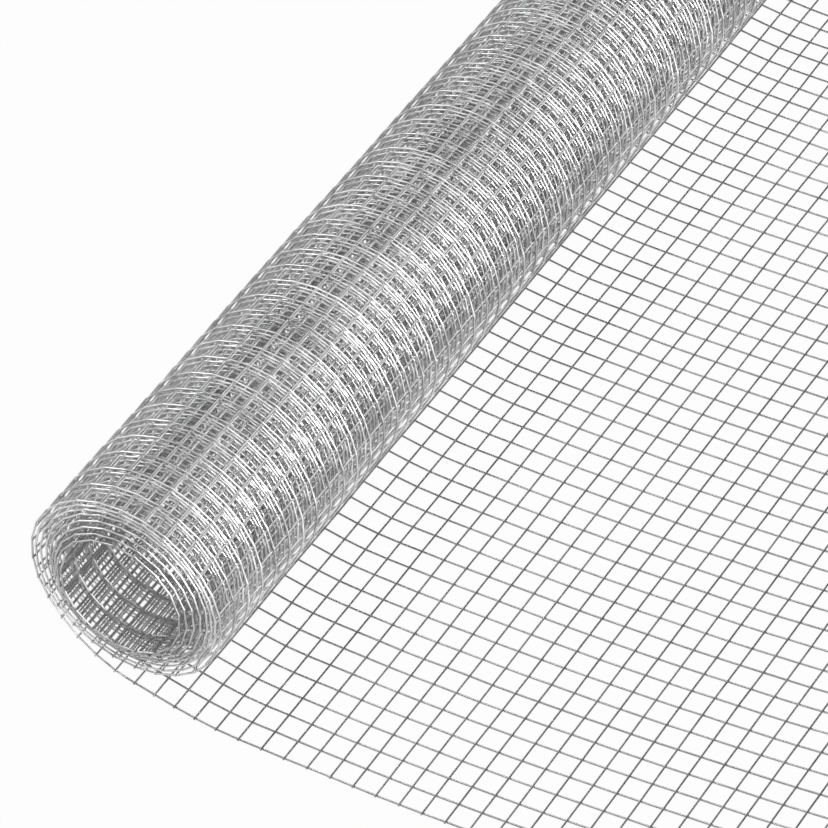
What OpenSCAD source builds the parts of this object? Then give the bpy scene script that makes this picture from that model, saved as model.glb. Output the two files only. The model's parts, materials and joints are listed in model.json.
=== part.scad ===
// Roll of welded wire mesh fencing, partly unrolled.
// One web of square mesh: most of it is wound into a roll that lies on its side,
// and the rest leaves the bottom of the roll along the floor and curls up a little, as a web
// that was wound does.
// X runs along the unrolled sheet, Y along the roll's axis, Z is up.

/* [Mesh] */
// Distance between neighbouring wires, centre to centre, both ways (half-inch mesh)
mesh_pitch = 12.7; // [6:0.1:30]
// Diameter of the galvanised wire (19 gauge)
wire_d = 1.07; // [0.6:0.01:2]
// How far a cross wire sinks into a line wire at a weld
weld_sink = 0.15; // [0.05:0.01:0.25]
// Length of wire that stands past the last wire it is welded to, at every cut edge
cut_stub = 1.7; // [1.2:0.1:4]

/* [Web] */
// Mesh openings across the web, from one edge wire to the other (36 inch web)
width_cells = 72; // [12:1:96]
// Mesh openings along the unrolled part of the web
flat_cells = 35; // [14:1:70]
// Upward bend, in degrees, from each strip of the unrolled part to the next
strip_bend = 2; // [0:0.25:3]

/* [Roll] */
// Diameter of the open bore of the roll
bore_d = 67; // [50:1:150]
// Turns wound round the bore
turns = 8; // [3:1:12]
// Slack between one turn and the next
turn_slack = 0.62; // [0.1:0.01:1]
// How far the wound turns sit behind the front edge of the flat sheet
roll_setback = 12.7; // [0:0.1:20]
// Depth of the grooves between the turns on the roll's two ends
end_groove = 4; // [1:0.5:10]

/* [Hidden] */
panels = 7;
wire_sides = 6;
zinc = "lightgray";

// The web: line wires run along X, with the cross wires welded on top of them
web_w = width_cells * mesh_pitch;
web_t = 2 * wire_d - weld_sink;
line_z = wire_d / 2;
cross_z = web_t - wire_d / 2;

// The wound turns. Each turn is two half circles whose centres lie a half pitch of the
// winding apart, so the outermost turn runs out level with the floor, into the sheet.
turn_pitch = web_t + turn_slack;
right_r = bore_d / 2 + turns * turn_pitch;
left_r = right_r + turn_pitch / 2;
centre_shift = turn_pitch / 4;
axis_z = left_r + centre_shift;
roll_l = web_w + wire_d;

// The unrolled sheet, in strips that bend up one after another from the line where it leaves
// the roll. They meet at the top of their line wires, so that their ends don't overlap.
function first_wire(panel) = floor((panel - 1) * flat_cells / panels);
function strip_l(panel) = (first_wire(panel + 1) - first_wire(panel)) * mesh_pitch
  - (panel == panels ? mesh_pitch / 2 - cut_stub : 0);
function strip_tilt(panel) = (panel - 1) * strip_bend;
function strip_x(panel) = panel == 1 ? 0
  : strip_x(panel - 1) + strip_l(panel - 1) * cos(strip_tilt(panel - 1));
function strip_z(panel) = panel == 1 ? wire_d
  : strip_z(panel - 1) + strip_l(panel - 1) * sin(strip_tilt(panel - 1));
sheet_reach = strip_x(panels) + strip_l(panels) * cos(strip_tilt(panels)) + wire_d * sin(strip_tilt(panels));

// Middle of the footprint, which is the origin
edge_y = web_w / 2 + cut_stub;
back_y = max(edge_y, roll_l / 2 + roll_setback);
axis_x = (left_r - sheet_reach) / 2;
sheet_y = (edge_y - back_y) / 2;
roll_y = sheet_y + roll_setback;

// A straight wire of the mesh along Z, flats across it at the wire's diameter
module wire(length) {
  cylinder(h = length, d = wire_d / cos(180 / wire_sides), $fn = wire_sides);
}

module line_wire(length) {
  rotate([0, 90, 0]) rotate([0, 0, 180 / wire_sides]) wire(length);
}

module cross_wire() {
  translate([0, edge_y, 0]) rotate([90, 0, 0]) wire(2 * edge_y);
}

// Half of the wound turns on one side of the seam, with the gaps between them on both ends
// and the line wires of the outermost turn as ribs that stand out by half their thickness
module half_roll(outer_r) {
  inner_r = bore_d / 2 - 2 * centre_shift - turn_pitch;
  gap = turn_pitch - wire_d;
  end = roll_l / 2;
  comb = [for (k = [0 : turns - 2]) let (r = outer_r - k * turn_pitch)
    each [[r, end], [r - wire_d, end], [r - wire_d, end - end_groove],
          [r - wire_d - gap, end - end_groove]]];
  last_r = outer_r - (turns - 1) * turn_pitch;
  upper = concat(comb, [[last_r, end], [inner_r, end]]);
  lower = [for (i = [len(upper) - 1 : -1 : 0]) [upper[i][0], -upper[i][1]]];
  rib = wire_d / 2;
  ribs = [for (j = [0 : width_cells - 1]) let (y = j * mesh_pitch - web_w / 2)
    each [[outer_r, y + rib], [outer_r - rib, y + rib],
          [outer_r - rib, y + mesh_pitch - rib], [outer_r, y + mesh_pitch - rib]]];
  rotate_extrude(angle = 180, $fn = 96) polygon(concat(upper, lower, ribs));
}

// The wound part of the web, seen from the front: the outer turn leaves at the bottom right
module mesh_roll() {
  color(zinc) translate([axis_x, roll_y, axis_z]) rotate([90, 0, 0]) difference() {
    union() {
      translate([0, -centre_shift, 0]) rotate([0, 0, 90]) half_roll(left_r);
      translate([0, centre_shift, 0]) rotate([0, 0, -90]) half_roll(right_r);
    }
    cylinder(h = 2 * roll_l, d = bore_d, center = true, $fn = 96);
  }
}

// One strip of the unrolled sheet, with its wires fused at every weld
module flat_mesh(panel) {
  wires = first_wire(panel + 1) - first_wire(panel);
  color(zinc) translate([axis_x + strip_x(panel), sheet_y, strip_z(panel)])
    rotate([0, -strip_tilt(panel), 0]) translate([0, 0, -wire_d]) union() {
      union() for (j = [0 : width_cells])
        translate([0, j * mesh_pitch - web_w / 2, line_z]) line_wire(strip_l(panel));
      union() for (i = [0 : wires - 1])
        translate([(i + 0.5) * mesh_pitch, 0, cross_z]) cross_wire();
    }
}

mesh_roll();
flat_mesh(1);  // flat_mesh_1
flat_mesh(2);  // flat_mesh_2
flat_mesh(3);  // flat_mesh_3
flat_mesh(4);  // flat_mesh_4
flat_mesh(5);  // flat_mesh_5
flat_mesh(6);  // flat_mesh_6
flat_mesh(7);  // flat_mesh_7
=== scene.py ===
import json
import math
from typing import NamedTuple

import bpy
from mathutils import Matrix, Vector


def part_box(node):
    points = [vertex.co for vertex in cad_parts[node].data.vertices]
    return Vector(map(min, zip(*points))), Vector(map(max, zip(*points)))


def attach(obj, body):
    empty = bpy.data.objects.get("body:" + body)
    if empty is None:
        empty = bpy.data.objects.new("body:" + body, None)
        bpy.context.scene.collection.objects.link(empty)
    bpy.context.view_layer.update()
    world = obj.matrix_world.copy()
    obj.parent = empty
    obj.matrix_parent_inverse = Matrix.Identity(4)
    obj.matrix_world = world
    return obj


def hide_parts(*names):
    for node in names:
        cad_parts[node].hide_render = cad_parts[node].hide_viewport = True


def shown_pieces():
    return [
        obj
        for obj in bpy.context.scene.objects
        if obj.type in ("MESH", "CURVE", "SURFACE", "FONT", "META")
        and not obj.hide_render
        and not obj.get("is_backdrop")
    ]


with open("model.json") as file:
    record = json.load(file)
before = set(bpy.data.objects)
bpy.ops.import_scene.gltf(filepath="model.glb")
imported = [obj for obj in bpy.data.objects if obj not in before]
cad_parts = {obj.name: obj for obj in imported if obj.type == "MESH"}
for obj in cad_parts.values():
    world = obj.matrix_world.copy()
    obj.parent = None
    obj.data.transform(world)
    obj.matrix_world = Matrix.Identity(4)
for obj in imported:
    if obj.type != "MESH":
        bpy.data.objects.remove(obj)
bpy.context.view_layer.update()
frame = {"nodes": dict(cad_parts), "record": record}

bl_info = {
    "name": "Roll of wire fencing",
    "version": (1, 0, 0),
    "blender": (4, 5, 0),
    "location": "View3D > Sidebar > Wire fencing",
    "description": "Welded wire mesh, wound into a roll and partly unrolled, with its stage",
    "category": "Object",
}

BODY = "root"
ZINC = "zinc_on_wire"
SHADE = "wire_tone"
ROLL_NODE = "mesh_roll"
SHEET_NODES = [name for name in sorted(frame["nodes"]) if name.startswith("flat_mesh_")]
MOUNTS = {mount["name"]: mount for mount in frame["record"]["mounts"]}
ROLL_AXIS = Vector(MOUNTS["roll_bore"]["pos_m"])
ROLL_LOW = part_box(ROLL_NODE)[0]
SHEET_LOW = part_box(SHEET_NODES[0])[0]

# Steps of the web's path, along the sheet and round the roll
SHEET_STEPS = 110
STEPS_PER_TURN = 120

# Cells over which the web's edge drifts back to the roll's end, before and past the roll's beginning
DRIFT_BEFORE = 5.5
DRIFT_PAST = 4.5

# Part of the first turn over which the web tightens
TIGHTENING_TURN = 0.25

# How far the turns are out of round, in metres, in how many waves to a turn, and from which turn on
OUT_OF_ROUND = 0.0003
ROUND_WAVE = 0.83
ROUND_PHASE = 1.1
ROUND_FROM = 0.5

# Waves to a turn by which the edges of the turns wander, a slow one and a share of a quick one
SLOW_WANDER = 0.37
SLOW_PHASE = 0.4
QUICK_WANDER = 0.91
QUICK_SHARE = 0.5

# Noise by which the wires stray, cells from one bend of a cross wire to the next, and bead sizes
STRAY_DETAIL = 2.0
STRAY_ROUGHNESS = 0.55
CELLS_PER_BEND = 2
BEAD_LEAST = 0.85
BEAD_MOST = 1.1

# Sides of the round wires
SHEET_SIDES = 8
ROLL_SIDES = 6

# Seeds of the shades and the bead sizes. A line wire keeps its shade from the sheet into the roll.
LINE_SEED = 11
SHEET_CROSS_SEED = 12
ROLL_CROSS_SEED = 14
SHEET_WELD_SEED = 15
ROLL_WELD_SEED = 16

# Patterns of the zinc, scaled to the metre: spangles, clouds and a fine grain
SPANGLE_SCALE = 260.0
CLOUD_SCALE = 42.0
CLOUD_DETAIL = 3.0
GRAIN_SCALE = 1500.0
GRAIN_DETAIL = 2.0
GRAIN_STRENGTH = 0.25
GRAIN_HEIGHT = 0.0001

# Distances from the roll's axis over which painted light lifts the zinc of the second to fourth turns,
# against the shade that the outer turns cast on them
PAINTED_LIGHT_FROM_OUTSIDE = (0.053, 0.051)
PAINTED_LIGHT_FROM_INSIDE = (0.042, 0.046)
# Distances from the roll's axis over which painted shade darkens the innermost turn, for the shade deep
# inside the roll
PAINTED_SHADE_FROM_OUTSIDE = (0.0385, 0.036)

# Tone of the zinc, from its dark colour at 0 to its bright one at 1, and what changes it by how much
MEAN_TONE = 0.34
# Painted light on the second to fourth turns
PAINTED_LIGHT_TONE = 0.3
# Painted shade on the innermost turn
PAINTED_SHADE_TONE = 0.22
WIRE_TONE = 0.3
SPANGLE_TONE = 0.4
CLOUD_TONE = 0.8

# Where the clouds are dull, and how much less metallic and how much rougher the zinc is there
DULL_CLOUD = (0.48, 0.72)
DULL_METALLIC = 0.12
DULL_ROUGHNESS = 0.22
SPANGLE_ROUGHNESS = 0.1

# Places of the strip lamps along the roll, from its middle, and their distance and length
FRONT = -1.1
MIDDLE = -0.1
BEHIND = 1.9
STRIP_DISTANCE = 3.0
STRIP_LENGTH = 1.7

# How the names of the pieces begin that a lamp lights
WOUND = ("roll_",)
HOOPS = ("roll_line", "roll_weld")
LEVEL = ("sheet_",)


class Strip(NamedTuple):
    """A strip lamp along the roll, which leans by some degrees from above the roll to the sheet's side."""

    name: str
    lean: float
    width: float
    power: float
    lit: tuple = WOUND
    along: float = FRONT
    distance: float = STRIP_DISTANCE
    length: float = STRIP_LENGTH


# The cross wires of the roll would mirror the two strongest strips, so those leave them dark
STRIPS = [
    Strip("top_strip", lean=-21, width=0.42, power=38.0),
    Strip("middle_strip", lean=15, width=1.0, power=15.0),
    Strip("right_strip", lean=41, width=1.1, power=116.0, lit=HOOPS),
    Strip("left_strip", lean=-62, width=1.25, power=62.0),
    Strip("low_strip", lean=76, width=1.3, power=195.0, lit=HOOPS),
    Strip("back_strip", lean=32, width=2.5, power=60.0, along=BEHIND, length=1.2),
    Strip("sheet_strip", lean=-30, width=0.35, power=9.0, lit=LEVEL, along=MIDDLE, distance=1.45, length=2.0),
]


class WebSettings(bpy.types.PropertyGroup):
    """Sizes of the welded mesh and of its unrolled part."""

    pitch: bpy.props.FloatProperty(
        name="Mesh pitch",
        description="Distance between neighbouring wires, both ways",
        default=0.0127,
        unit="LENGTH",
    )
    wire: bpy.props.FloatProperty(
        name="Wire diameter",
        description="Diameter of the galvanised wire",
        default=0.00107,
        unit="LENGTH",
    )
    sink: bpy.props.FloatProperty(
        name="Weld sink",
        description="How far a cross wire sinks into a line wire at a weld",
        default=0.00015,
        unit="LENGTH",
    )
    stub: bpy.props.FloatProperty(
        name="Cut stub",
        description="Wire that stands past the last weld at a cut edge",
        default=0.0017,
        unit="LENGTH",
    )
    width_cells: bpy.props.IntProperty(
        name="Cells across",
        description="Mesh openings from one edge of the web to the other",
        default=72,
    )
    sheet_cells: bpy.props.IntProperty(
        name="Cells unrolled",
        description="Mesh openings along the unrolled sheet",
        default=35,
    )
    level_run: bpy.props.FloatProperty(
        name="Level run",
        description="Length of sheet beside the roll that lies flat before the sheet curls up",
        default=0.03175,
        unit="LENGTH",
    )
    curl_radius: bpy.props.FloatProperty(
        name="Curl radius",
        description="Radius of the unrolled sheet's upward curl",
        default=1.819,
        unit="LENGTH",
    )
    wave: bpy.props.FloatProperty(
        name="Waviness",
        description="How far the wires stray from a true grid",
        default=0.0011,
        unit="LENGTH",
    )
    wave_length: bpy.props.FloatProperty(
        name="Wave length",
        description="Distance over which the wires stray",
        default=0.11,
        unit="LENGTH",
    )
    bead: bpy.props.FloatProperty(
        name="Bead diameter",
        description="Diameter of the zinc bead at a weld",
        default=0.0015,
        unit="LENGTH",
    )


class RollSettings(bpy.types.PropertyGroup):
    """How the web is wound."""

    turns: bpy.props.FloatProperty(
        name="Turns",
        description="Turns of mesh in the roll",
        default=8.342,
    )
    turn_pitch: bpy.props.FloatProperty(
        name="Turn pitch",
        description="Distance from one turn to the next",
        default=0.00268,
        unit="LENGTH",
    )
    tightening: bpy.props.FloatProperty(
        name="Tightening",
        description="How much closer the web winds once it has left the floor",
        default=0.0006,
        unit="LENGTH",
    )
    telescope: bpy.props.FloatProperty(
        name="Telescope",
        description="How far each inner turn stands forward of the one around it",
        default=0.00175,
        unit="LENGTH",
    )
    even_turns: bpy.props.FloatProperty(
        name="Even turns",
        description="Outer turns whose edges lie even with each other",
        default=4.0,
    )
    edge_wander: bpy.props.FloatProperty(
        name="Edge wander",
        description="How far the edges of the turns wander along the roll",
        default=0.0002,
        unit="LENGTH",
    )


class FinishSettings(bpy.types.PropertyGroup):
    """Colours of the zinc."""

    dark_zinc: bpy.props.FloatVectorProperty(
        name="Dark zinc",
        description="Colour of the darker spangles",
        default=(0.38, 0.38, 0.38),
        subtype="COLOR",
    )
    bright_zinc: bpy.props.FloatVectorProperty(
        name="Bright zinc",
        description="Colour of the brighter spangles",
        default=(0.8, 0.8, 0.8),
        subtype="COLOR",
    )
    roughness: bpy.props.FloatProperty(
        name="Roughness",
        description="Roughness of bright zinc",
        default=0.36,
        subtype="FACTOR",
    )


class StageSettings(bpy.types.PropertyGroup):
    """Floor, lamps and camera."""

    floor: bpy.props.FloatVectorProperty(
        name="Floor",
        description="Colour of the floor",
        default=(0.92, 0.92, 0.92),
        subtype="COLOR",
    )
    floor_size: bpy.props.FloatProperty(
        name="Floor size",
        description="Side of the square floor",
        default=14.0,
        unit="LENGTH",
    )
    floor_glow: bpy.props.FloatProperty(
        name="Floor glow",
        description="Share of the floor that is plain white to the camera",
        default=0.97,
        subtype="FACTOR",
    )
    ambient: bpy.props.FloatProperty(
        name="Ambient light",
        description="Strength of the even light from all round",
        default=0.45,
    )
    sky: bpy.props.FloatProperty(
        name="Mirrored sky",
        description="Strength of the dim studio above the floor, as the wires mirror it",
        default=0.17,
    )
    azimuth: bpy.props.FloatProperty(
        name="Camera azimuth",
        description="Angle of the camera round the object",
        default=math.radians(30.34),
        subtype="ANGLE",
    )
    elevation: bpy.props.FloatProperty(
        name="Camera elevation",
        description="Angle of the camera above the floor",
        default=math.radians(44.33),
        subtype="ANGLE",
    )
    distance: bpy.props.FloatProperty(
        name="Camera distance",
        description="Distance from the camera to the point it looks at",
        default=2.6556,
        unit="LENGTH",
    )
    lens: bpy.props.FloatProperty(
        name="Lens",
        description="Focal length of the camera",
        default=226.7,
        unit="CAMERA",
    )
    aim_right: bpy.props.FloatProperty(
        name="Aim from axis",
        description="Distance of the point looked at from the roll's axis, along the sheet",
        default=0.029,
        unit="LENGTH",
    )
    aim_back: bpy.props.FloatProperty(
        name="Aim from edge",
        description="Distance of the point looked at from the sheet's front edge wire",
        default=0.2348,
        unit="LENGTH",
    )


SETTINGS = {
    "fencing_web": WebSettings,
    "fencing_roll": RollSettings,
    "fencing_finish": FinishSettings,
    "fencing_stage": StageSettings,
}


class Value:
    """An output socket that takes part in sums with numbers and other sockets."""

    def __init__(self, graph, socket):
        self.graph = graph
        self.socket = socket

    def out(self, name):
        return Value(self.graph, self.socket.node.outputs[name])

    def math(self, operation, *others):
        return self.graph.sum(operation, self, *others)

    def __add__(self, other):
        return self.graph.sum("ADD", self, other)

    def __radd__(self, other):
        return self.graph.sum("ADD", other, self)

    def __sub__(self, other):
        return self.graph.sum("SUBTRACT", self, other)

    def __rsub__(self, other):
        return self.graph.sum("SUBTRACT", other, self)

    def __mul__(self, other):
        return self.graph.sum("MULTIPLY", self, other)

    def __rmul__(self, other):
        return self.graph.sum("MULTIPLY", other, self)

    def __truediv__(self, other):
        return self.graph.sum("DIVIDE", self, other)

    def __rtruediv__(self, other):
        return self.graph.sum("DIVIDE", other, self)


class Graph:
    """A node tree, with one way to add a node."""

    def __init__(self, tree):
        self.tree = tree

    def feed(self, socket, value):
        if isinstance(value, Value):
            self.tree.links.new(value.socket, socket)
        else:
            socket.default_value = value

    def add(self, kind, settings=None, sockets=None, output=0):
        node = self.tree.nodes.new(kind)
        for name, value in (settings or {}).items():
            setattr(node, name, value)
        for key, value in (sockets or {}).items():
            self.feed(node.inputs[key], value)
        return Value(self, node.outputs[output]) if node.outputs else node

    def sum(self, operation, *values):
        return self.add("ShaderNodeMath", {"operation": operation}, dict(enumerate(values)))

    def vector(self, x, y, z):
        return self.add("ShaderNodeCombineXYZ", None, {0: x, 1: y, 2: z})

    def vector_sum(self, operation, *values):
        return self.add("ShaderNodeVectorMath", {"operation": operation}, dict(enumerate(values)))

    def inputs(self, **kinds):
        for name, kind in kinds.items():
            self.tree.interface.new_socket(name, in_out="INPUT", socket_type="NodeSocket" + kind)
        node = self.add("NodeGroupInput")
        return {name: node.out(name) for name in kinds}

    def result(self, geometry):
        self.tree.interface.new_socket("Geometry", in_out="OUTPUT", socket_type="NodeSocketGeometry")
        self.add("NodeGroupOutput", None, {0: geometry})


def ease(share):
    """A share from 0 to 1, with a soft start and end."""
    share = min(max(share, 0), 1)
    return share * share * (3 - 2 * share)


def edge_wave(angle):
    """How far the edge of a turn has wandered, as a share of the setting, from 0 where the roll begins."""
    slow = math.sin(angle * SLOW_WANDER + SLOW_PHASE) - math.sin(SLOW_PHASE)
    return slow + QUICK_SHARE * math.sin(angle * QUICK_WANDER)


def sheet_points(web, level, edge_at):
    """Points along the sheet, from its cut end to the roll: curled up at first, then level."""
    run = (web.sheet_cells - 0.5) * web.pitch + web.stub
    points = []
    for step in range(SHEET_STEPS):
        ahead = run * (1 - step / SHEET_STEPS)
        curled = max(ahead - web.level_run, 0)
        turned = curled / web.curl_radius
        x = ahead - curled + math.sin(turned) * web.curl_radius
        z = (1 - math.cos(turned)) * web.curl_radius
        points.append(Vector((ROLL_AXIS.x + x, edge_at(-ahead), level + z)))
    return points


def wound_points(roll, level, edge_at):
    """Points along the wound turns, from the floor below the roll's axis inwards."""
    start_radius = ROLL_AXIS.z - level
    points = []
    for step in range(round(roll.turns * STEPS_PER_TURN) + 1):
        turn = step / STEPS_PER_TURN
        angle = turn * math.tau
        radius = start_radius - roll.turn_pitch * turn - roll.tightening * ease(turn / TIGHTENING_TURN)
        radius += OUT_OF_ROUND * math.sin(angle * ROUND_WAVE + ROUND_PHASE) * ease(turn - ROUND_FROM)
        x = ROLL_AXIS.x - radius * math.sin(angle)
        y = edge_at(angle * start_radius) + roll.edge_wander * edge_wave(angle)
        y -= roll.telescope * max(turn - roll.even_turns, 0)
        points.append(Vector((x, y, ROLL_AXIS.z - radius * math.cos(angle))))
    return points


def path_points(web, roll):
    """Middle of the front edge wire, from the sheet's cut end to the end of the innermost turn."""
    level = SHEET_LOW.z + web.wire / 2
    edge = SHEET_LOW.y + web.stub
    setback = ROLL_LOW.y + web.wire / 2 - edge
    before = DRIFT_BEFORE * web.pitch
    past = DRIFT_PAST * web.pitch

    def edge_at(distance):
        return edge + setback * ease((distance + before) / (before + past))

    return sheet_points(web, level, edge_at) + wound_points(roll, level, edge_at)


def draw_path(points):
    """The path as a curve object, for as long as the wires are being made."""
    curve = bpy.data.curves.new("web_path", "CURVE")
    curve.dimensions = "3D"
    spline = curve.splines.new("POLY")
    spline.points.add(len(points) - 1)
    for point, place in zip(spline.points, points):
        point.co = (*place, 1)
    path = bpy.data.objects.new("web_path", curve)
    bpy.context.scene.collection.objects.link(path)
    return path


def on_path(graph, path, length):
    """Place on the path, at a length along it."""
    curve = graph.add("GeometryNodeObjectInfo", None, {"Object": path}, "Geometry")
    return graph.add(
        "GeometryNodeSampleCurve",
        {"mode": "LENGTH", "use_all_curves": True},
        {"Curves": curve, "Length": length},
        "Position",
    )


def placed(graph, count, place):
    """A row of points, joined in order, each at its place."""
    row = graph.add("GeometryNodeMeshLine", None, {"Count": count})
    return graph.add("GeometryNodeSetPosition", None, {"Geometry": row, "Position": place})


def crossings(graph, given, depth):
    """A point at every pitch of the path, moved by a depth to the inner side of the web."""
    length = given["first"] + graph.add("GeometryNodeInputIndex") * given["pitch"]
    place = on_path(graph, given["path"], length)
    inward = graph.vector_sum("CROSS_PRODUCT", (0, 1, 0), place.out("Tangent"))
    offset = graph.add("ShaderNodeVectorMath", {"operation": "SCALE"}, {0: inward, "Scale": depth})
    return placed(graph, given["cells"], graph.vector_sum("ADD", place, offset))


def side_by_side(graph, given):
    """A point for every line wire, one pitch apart along the roll."""
    step = graph.vector(0, given["pitch"], 0)
    return graph.add("GeometryNodeMeshLine", None, {"Count": given["wires"], "Offset": step})


def waved(graph, geometry, given):
    """The geometry moved by a slow noise that welded wires share, and never down into the floor."""
    place = graph.add("GeometryNodeInputPosition")
    noise = graph.add(
        "ShaderNodeTexNoise",
        None,
        {
            "Vector": place,
            "Scale": 1 / given["wave_length"],
            "Detail": STRAY_DETAIL,
            "Roughness": STRAY_ROUGHNESS,
        },
        "Color",
    )
    parts = graph.add("ShaderNodeSeparateXYZ", None, {0: noise})
    x, y, z = [(parts.out(axis) - 0.5) * 2 for axis in "XYZ"]
    wave = given["wave"]
    offset = graph.vector(x * wave, y * wave, z.math("ABSOLUTE") * wave)
    return graph.add("GeometryNodeSetPosition", None, {"Geometry": geometry, "Offset": offset})


def toned(graph, instances, seed):
    """The instances, each with a shade of its own."""
    shade = graph.add("FunctionNodeRandomValue", {"data_type": "FLOAT"}, {"Seed": seed}, 1)
    return graph.add(
        "GeometryNodeStoreNamedAttribute",
        {"data_type": "FLOAT", "domain": "INSTANCE"},
        {"Geometry": instances, "Name": SHADE, "Value": shade},
    )


def drawn(graph, curves, wire, sides):
    """The curves as closed round wires, straight from bend to bend."""
    section = graph.add(
        "GeometryNodeCurvePrimitiveCircle",
        {"mode": "RADIUS"},
        {"Resolution": sides, "Radius": wire / 2},
    )
    mesh = graph.add(
        "GeometryNodeCurveToMesh",
        None,
        {"Curve": curves, "Profile Curve": section, "Fill Caps": True},
    )
    smooth = graph.add("GeometryNodeSetShadeSmooth", None, {"Geometry": mesh})
    ends = graph.add("GeometryNodeInputMeshEdgeVertices", None, None, "Position 1")
    length = graph.vector_sum("DISTANCE", ends, ends.out("Position 2")).out("Value")
    return graph.add(
        "GeometryNodeSetShadeSmooth",
        {"domain": "EDGE"},
        {"Geometry": smooth, "Selection": length.math("LESS_THAN", wire), "Shade Smooth": False},
    )


def realized(graph, points, shape, given, scale=(1, 1, 1)):
    """The shape at every point, each with a shade of its own, as real geometry."""
    copies = graph.add(
        "GeometryNodeInstanceOnPoints",
        None,
        {"Points": points, "Instance": shape, "Scale": scale},
    )
    copies = toned(graph, copies, given["seed"])
    return graph.add("GeometryNodeRealizeInstances", None, {"Geometry": copies})


def finished(graph, mesh, given):
    """The material, and the tree's result."""
    sockets = {"Geometry": mesh, "Material": given["material"]}
    graph.result(graph.add("GeometryNodeSetMaterial", None, sockets))
    return graph.tree


def line_wire_tree():
    """Wires that follow the path, bent at every weld, side by side along the roll."""
    graph = Graph(bpy.data.node_groups.new("Line wires", "GeometryNodeTree"))
    given = graph.inputs(
        path="Object", pitch="Float", wire="Float", first="Float", cells="Int", lead="Float", tail="Float",
        wires="Int", sides="Int", wave="Float", wave_length="Float", seed="Int", material="Material",
    )
    pitch, first, cells = given["pitch"], given["first"], given["cells"]
    length = first + (graph.add("GeometryNodeInputIndex") - 1) * pitch
    length = length.math("MAXIMUM", first - given["lead"])
    length = length.math("MINIMUM", first + (cells - 1) * pitch + given["tail"])
    line = placed(graph, cells + 2, on_path(graph, given["path"], length))
    curve = graph.add("GeometryNodeMeshToCurve", None, {"Mesh": line})
    wires = waved(graph, realized(graph, side_by_side(graph, given), curve, given), given)
    return finished(graph, drawn(graph, wires, given["wire"], given["sides"]), given)


def cross_wire_tree():
    """Straight wires across the web, on the inside of the line wires, one at every pitch of the path."""
    graph = Graph(bpy.data.node_groups.new("Cross wires", "GeometryNodeTree"))
    given = graph.inputs(
        path="Object", pitch="Float", wire="Float", sink="Float", stub="Float", first="Float", cells="Int",
        width_cells="Int", sides="Int", wave="Float", wave_length="Float", seed="Int", material="Material",
    )
    stub, width_cells = given["stub"], given["width_cells"]
    points = crossings(graph, given, given["wire"] - given["sink"])
    steps = width_cells / CELLS_PER_BEND
    step = (width_cells * given["pitch"] + stub * 2) / steps
    line = graph.add(
        "GeometryNodeMeshLine",
        None,
        {
            "Count": steps + 1,
            "Start Location": graph.vector(0, 0 - stub, 0),
            "Offset": graph.vector(0, step, 0),
        },
    )
    curve = graph.add("GeometryNodeMeshToCurve", None, {"Mesh": line})
    wires = waved(graph, realized(graph, points, curve, given), given)
    return finished(graph, drawn(graph, wires, given["wire"], given["sides"]), given)


def weld_tree():
    """A bead of zinc at every crossing of the chosen rows."""
    graph = Graph(bpy.data.node_groups.new("Welds", "GeometryNodeTree"))
    given = graph.inputs(
        path="Object", pitch="Float", wire="Float", sink="Float", bead="Float", first="Float", cells="Int",
        wires="Int", wave="Float", wave_length="Float", seed="Int", material="Material",
    )
    points = crossings(graph, given, (given["wire"] - given["sink"]) / 2)
    rows = {"Points": points, "Instance": side_by_side(graph, given)}
    grid = graph.add("GeometryNodeInstanceOnPoints", None, rows)
    grid = waved(graph, graph.add("GeometryNodeRealizeInstances", None, {"Geometry": grid}), given)
    ball = graph.add("GeometryNodeMeshIcoSphere", None, {"Radius": given["bead"] / 2, "Subdivisions": 1})
    size = graph.add(
        "FunctionNodeRandomValue",
        {"data_type": "FLOAT"},
        {2: BEAD_LEAST, 3: BEAD_MOST, "Seed": given["seed"]},
        1,
    )
    beads = realized(graph, grid, ball, given, size)
    return finished(graph, graph.add("GeometryNodeSetShadeSmooth", None, {"Geometry": beads}), given)


def grown(name, tree, values, nodes):
    """A plain mesh piece made by the tree, riding on the frame and standing for the CAD nodes."""
    carrier = bpy.data.objects.new(name + "_carrier", bpy.data.meshes.new(name + "_carrier"))
    bpy.context.scene.collection.objects.link(carrier)
    modifier = carrier.modifiers.new("Mesh", "NODES")
    modifier.node_group = tree
    for item in tree.interface.items_tree:
        if item.in_out == "INPUT":
            modifier[item.identifier] = values[item.name]
    depsgraph = bpy.context.evaluated_depsgraph_get()
    mesh = bpy.data.meshes.new_from_object(carrier.evaluated_get(depsgraph))
    bpy.data.objects.remove(carrier)
    if not mesh.polygons:
        raise RuntimeError(name + " has no faces")
    piece = bpy.data.objects.new(name, mesh)
    bpy.context.scene.collection.objects.link(piece)
    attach(piece, BODY)
    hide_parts(*nodes)


def common_values(scene):
    """The path, the material and the sizes that the trees take as inputs."""
    web = scene.fencing_web
    return {
        "path": draw_path(path_points(web, scene.fencing_roll)),
        "pitch": web.pitch,
        "wire": web.wire,
        "sink": web.sink,
        "stub": web.stub,
        "bead": web.bead,
        "wave": web.wave,
        "wave_length": web.wave_length,
        "width_cells": web.width_cells,
        "wires": web.width_cells + 1,
        "material": zinc_material(scene.fencing_finish),
    }


def roll_start(web):
    """Length along the path, from the sheet's cut end, of the roll's first cross wire."""
    return web.stub + web.sheet_cells * web.pitch


def roll_rows(web, roll):
    """Cross wires in the roll."""
    points = path_points(web, roll)
    length = sum((b - a).length for a, b in zip(points, points[1:]))
    return math.floor((length - 2 * web.stub) / web.pitch) + 1 - web.sheet_cells


def mixed(graph, factor, first, second):
    """A colour between two others."""
    return graph.add("ShaderNodeMix", {"data_type": "RGBA"}, {0: factor, 6: first, 7: second}, 2)


def faded(graph, value, start, end):
    """From 0 at the start to 1 at the end."""
    return graph.add("ShaderNodeMapRange", None, {"Value": value, "From Min": start, "From Max": end})


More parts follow.
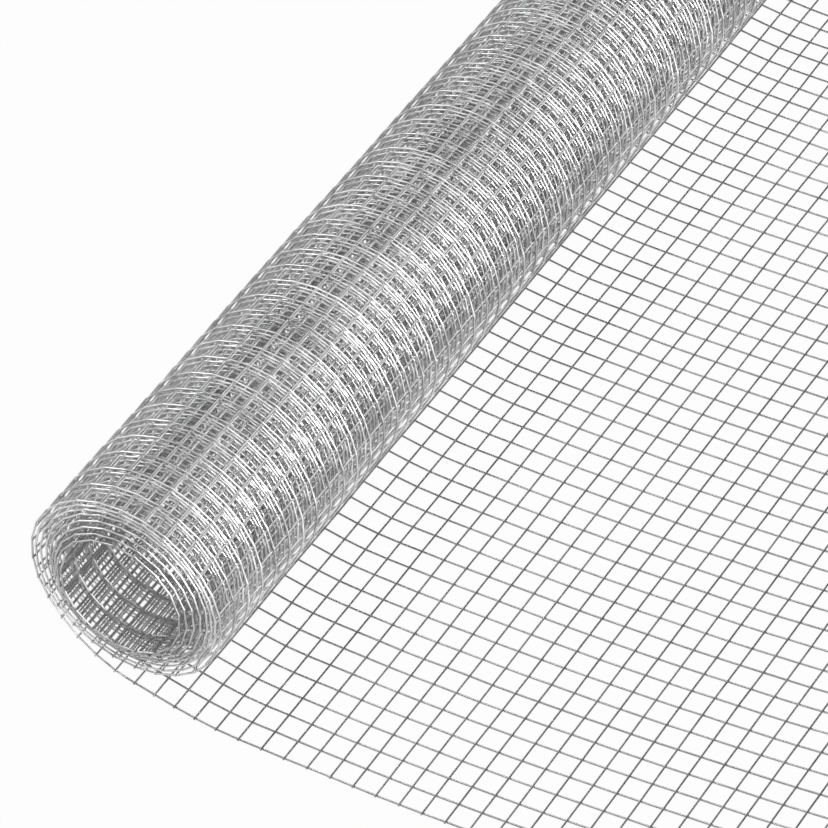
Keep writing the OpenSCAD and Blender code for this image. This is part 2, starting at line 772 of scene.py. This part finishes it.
def zinc_material(finish):
    """Spangled zinc with dull clouds, with painted light on the roll's second to fourth turns and painted
    shade on its innermost turn.
    """
    material = bpy.data.materials.get(ZINC)
    if material:
        return material
    material = bpy.data.materials.new(ZINC)
    material.use_nodes = True
    material.node_tree.nodes.clear()
    graph = Graph(material.node_tree)
    place = graph.add("ShaderNodeTexCoord", None, None, "Object")
    tone = graph.add("ShaderNodeAttribute", {"attribute_name": SHADE}, None, "Fac")
    cells = graph.add("ShaderNodeTexVoronoi", None, {"Vector": place, "Scale": SPANGLE_SCALE}, "Color")
    spangle = graph.add("ShaderNodeRGBToBW", None, {"Color": cells})
    cloud = graph.add(
        "ShaderNodeTexNoise", None, {"Vector": place, "Scale": CLOUD_SCALE, "Detail": CLOUD_DETAIL}
    )
    grain = graph.add(
        "ShaderNodeTexNoise", None, {"Vector": place, "Scale": GRAIN_SCALE, "Detail": GRAIN_DETAIL}
    )
    dull = faded(graph, cloud, *DULL_CLOUD)
    parts = graph.add("ShaderNodeSeparateXYZ", None, {0: place})
    across, up = parts.out("X") - ROLL_AXIS.x, parts.out("Z") - ROLL_AXIS.z
    radius = (across * across + up * up).math("SQRT")
    # Painted light: the second to fourth turns are made lighter, for the lamp light that the turns around
    # them keep off
    painted_light = faded(graph, radius, *PAINTED_LIGHT_FROM_OUTSIDE) * faded(graph, radius, *PAINTED_LIGHT_FROM_INSIDE)
    # Painted shade: the innermost turn is darker, for the shade deep inside the roll
    painted_shade = faded(graph, radius, *PAINTED_SHADE_FROM_OUTSIDE)
    shade = MEAN_TONE + painted_light * PAINTED_LIGHT_TONE - painted_shade * PAINTED_SHADE_TONE + (tone - 0.5) * WIRE_TONE
    shade = shade + (spangle - 0.5) * SPANGLE_TONE + (cloud - 0.5) * CLOUD_TONE
    base = mixed(graph, shade, (*finish.dark_zinc, 1), (*finish.bright_zinc, 1))
    bump = graph.add(
        "ShaderNodeBump", None, {"Strength": GRAIN_STRENGTH, "Distance": GRAIN_HEIGHT, "Height": grain}
    )
    roughness = finish.roughness + dull * DULL_ROUGHNESS + (spangle - 0.5) * SPANGLE_ROUGHNESS
    surface = graph.add(
        "ShaderNodeBsdfPrincipled",
        None,
        {
            "Base Color": base,
            "Metallic": 1.0 - dull * DULL_METALLIC,
            "Roughness": roughness,
            "Normal": bump,
        },
    )
    graph.add("ShaderNodeOutputMaterial", None, {"Surface": surface})
    return material


class FENCING_OT_sheet(bpy.types.Operator):
    """Make the wires of the unrolled sheet"""

    bl_idname = "fencing.sheet"
    bl_label = "Unrolled sheet"

    def execute(self, context):
        web = context.scene.fencing_web
        values = common_values(context.scene)
        values.update(first=web.stub, cells=web.sheet_cells, lead=web.stub, tail=web.pitch / 2)
        values.update(sides=SHEET_SIDES, seed=LINE_SEED)
        grown("sheet_line_wires", line_wire_tree(), values, SHEET_NODES)
        values["seed"] = SHEET_CROSS_SEED
        grown("sheet_cross_wires", cross_wire_tree(), values, SHEET_NODES)
        bpy.data.objects.remove(values["path"])
        return {"FINISHED"}


class FENCING_OT_roll(bpy.types.Operator):
    """Make the wires of the wound turns"""

    bl_idname = "fencing.roll"
    bl_label = "Wound turns"

    def execute(self, context):
        web = context.scene.fencing_web
        values = common_values(context.scene)
        rows = roll_rows(web, context.scene.fencing_roll)
        values.update(first=roll_start(web), cells=rows, lead=web.pitch / 2, tail=web.stub)
        values.update(sides=ROLL_SIDES, seed=LINE_SEED)
        grown("roll_line_wires", line_wire_tree(), values, [ROLL_NODE])
        values["seed"] = ROLL_CROSS_SEED
        grown("roll_cross_wires", cross_wire_tree(), values, [ROLL_NODE])
        bpy.data.objects.remove(values["path"])
        return {"FINISHED"}


class FENCING_OT_welds(bpy.types.Operator):
    """Make the zinc beads at the welds of the sheet and of the outermost turn"""

    bl_idname = "fencing.welds"
    bl_label = "Welds"

    def execute(self, context):
        web = context.scene.fencing_web
        values = common_values(context.scene)
        tree = weld_tree()
        values.update(first=web.stub, cells=web.sheet_cells, seed=SHEET_WELD_SEED)
        grown("sheet_welds", tree, values, SHEET_NODES)
        around = round(math.tau * ROLL_AXIS.z / web.pitch)
        values.update(first=roll_start(web), cells=around, seed=ROLL_WELD_SEED)
        grown("roll_welds", tree, values, [ROLL_NODE])
        bpy.data.objects.remove(values["path"])
        return {"FINISHED"}


def seen(graph):
    """One for rays from the camera and for mirrored or refracted ones, which show the background."""
    path = graph.add("ShaderNodeLightPath", None, None, "Is Camera Ray")
    mirrored = path.math("MAXIMUM", path.out("Is Glossy Ray"))
    return mirrored.math("MAXIMUM", path.out("Is Transmission Ray"))


def add_floor(stage):
    """A light grey floor that is near white to the camera but keeps the shadow."""
    half = stage.floor_size / 2
    mesh = bpy.data.meshes.new("floor")
    corners = [(-half, -half, 0), (half, -half, 0), (half, half, 0), (-half, half, 0)]
    mesh.from_pydata(corners, [], [(0, 1, 2, 3)])
    floor = bpy.data.objects.new("floor", mesh)
    bpy.context.scene.collection.objects.link(floor)
    material = bpy.data.materials.new("floor")
    material.use_nodes = True
    material.node_tree.nodes.clear()
    graph = Graph(material.node_tree)
    lit = graph.add("ShaderNodeBsdfDiffuse", None, {"Color": (*stage.floor, 1)})
    glow = graph.add("ShaderNodeEmission", None, {"Color": (1, 1, 1, 1), "Strength": 1.0})
    surface = graph.add("ShaderNodeMixShader", None, {0: seen(graph) * stage.floor_glow, 1: lit, 2: glow})
    graph.add("ShaderNodeOutputMaterial", None, {"Surface": surface})
    mesh.materials.append(material)
    floor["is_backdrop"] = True


def add_world(stage):
    """Even light, and white where the background shows."""
    world = bpy.data.worlds.new("studio")
    world.use_nodes = True
    world.node_tree.nodes.clear()
    graph = Graph(world.node_tree)
    path = graph.add("ShaderNodeLightPath", None, None, "Is Camera Ray")
    shown = path.math("MAXIMUM", path.out("Is Transmission Ray")) * (1 - stage.ambient)
    strength = stage.ambient + shown + path.out("Is Glossy Ray") * (stage.sky - stage.ambient)
    light = graph.add("ShaderNodeBackground", None, {"Color": (1, 1, 1, 1), "Strength": strength})
    graph.add("ShaderNodeOutputWorld", None, {"Surface": light})
    bpy.context.scene.world = world


def add_strip(strip):
    """A strip lamp that lights only its own pieces, so that the floor stays even."""
    light = bpy.data.lights.new(strip.name, "AREA")
    light.shape = "RECTANGLE"
    light.size, light.size_y = strip.length, strip.width
    light.energy = strip.power
    lamp = bpy.data.objects.new(strip.name, light)
    lean = math.radians(strip.lean)
    towards = Vector((math.sin(lean), 0, math.cos(lean)))
    lamp.location = ROLL_AXIS + Vector((0, strip.along, 0)) + towards * strip.distance
    lamp.rotation_mode = "QUATERNION"
    lamp.rotation_quaternion = (-towards).to_track_quat("-Z", "Y")
    lamp.visible_camera = False
    bpy.context.scene.collection.objects.link(lamp)
    lit = bpy.data.collections.new(strip.name + "_lit")
    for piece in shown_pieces():
        if piece.name.startswith(strip.lit):
            lit.objects.link(piece)
    lamp.light_linking.receiver_collection = lit


def add_camera(stage, target):
    """The camera, looking at the target."""
    back = Vector(
        (
            math.sin(stage.azimuth) * math.cos(stage.elevation),
            -math.cos(stage.azimuth) * math.cos(stage.elevation),
            math.sin(stage.elevation),
        )
    )
    data = bpy.data.cameras.new("camera")
    data.lens = stage.lens
    camera = bpy.data.objects.new("camera", data)
    camera.location = target + back * stage.distance
    camera.rotation_mode = "QUATERNION"
    camera.rotation_quaternion = (-back).to_track_quat("-Z", "Y")
    bpy.context.scene.collection.objects.link(camera)
    bpy.context.scene.camera = camera


class FENCING_OT_stage(bpy.types.Operator):
    """Make the floor, the light and the camera"""

    bl_idname = "fencing.stage"
    bl_label = "Stage"

    def execute(self, context):
        stage = context.scene.fencing_stage
        web = context.scene.fencing_web
        add_floor(stage)
        add_world(stage)
        for strip in STRIPS:
            add_strip(strip)
        edge = SHEET_LOW.y + web.stub
        height = SHEET_LOW.z + web.wire - web.sink / 2
        add_camera(stage, Vector((ROLL_AXIS.x + stage.aim_right, edge + stage.aim_back, height)))
        context.scene.view_settings.view_transform = "Standard"
        return {"FINISHED"}


OPERATORS = [FENCING_OT_sheet, FENCING_OT_roll, FENCING_OT_welds, FENCING_OT_stage]


class FENCING_PT_panel(bpy.types.Panel):
    """Buttons for the pieces and the stage"""

    bl_idname = "FENCING_PT_panel"
    bl_label = "Wire fencing"
    bl_space_type = "VIEW_3D"
    bl_region_type = "UI"
    bl_category = "Wire fencing"

    def draw(self, context):
        for operator in OPERATORS:
            self.layout.operator(operator.bl_idname)
        for name, group in SETTINGS.items():
            column = self.layout.column()
            for prop in group.__annotations__:
                column.prop(getattr(context.scene, name), prop)


def register():
    for group in SETTINGS.values():
        bpy.utils.register_class(group)
    for name, group in SETTINGS.items():
        setattr(bpy.types.Scene, name, bpy.props.PointerProperty(type=group))
    for operator in OPERATORS:
        bpy.utils.register_class(operator)
    bpy.utils.register_class(FENCING_PT_panel)


def unregister():
    bpy.utils.unregister_class(FENCING_PT_panel)
    for operator in reversed(OPERATORS):
        bpy.utils.unregister_class(operator)
    for name in SETTINGS:
        delattr(bpy.types.Scene, name)
    for group in SETTINGS.values():
        bpy.utils.unregister_class(group)


def main():
    register()
    bpy.ops.fencing.sheet()
    bpy.ops.fencing.roll()
    bpy.ops.fencing.welds()
    bpy.ops.fencing.stage()


if __name__ == "__main__":
    main()
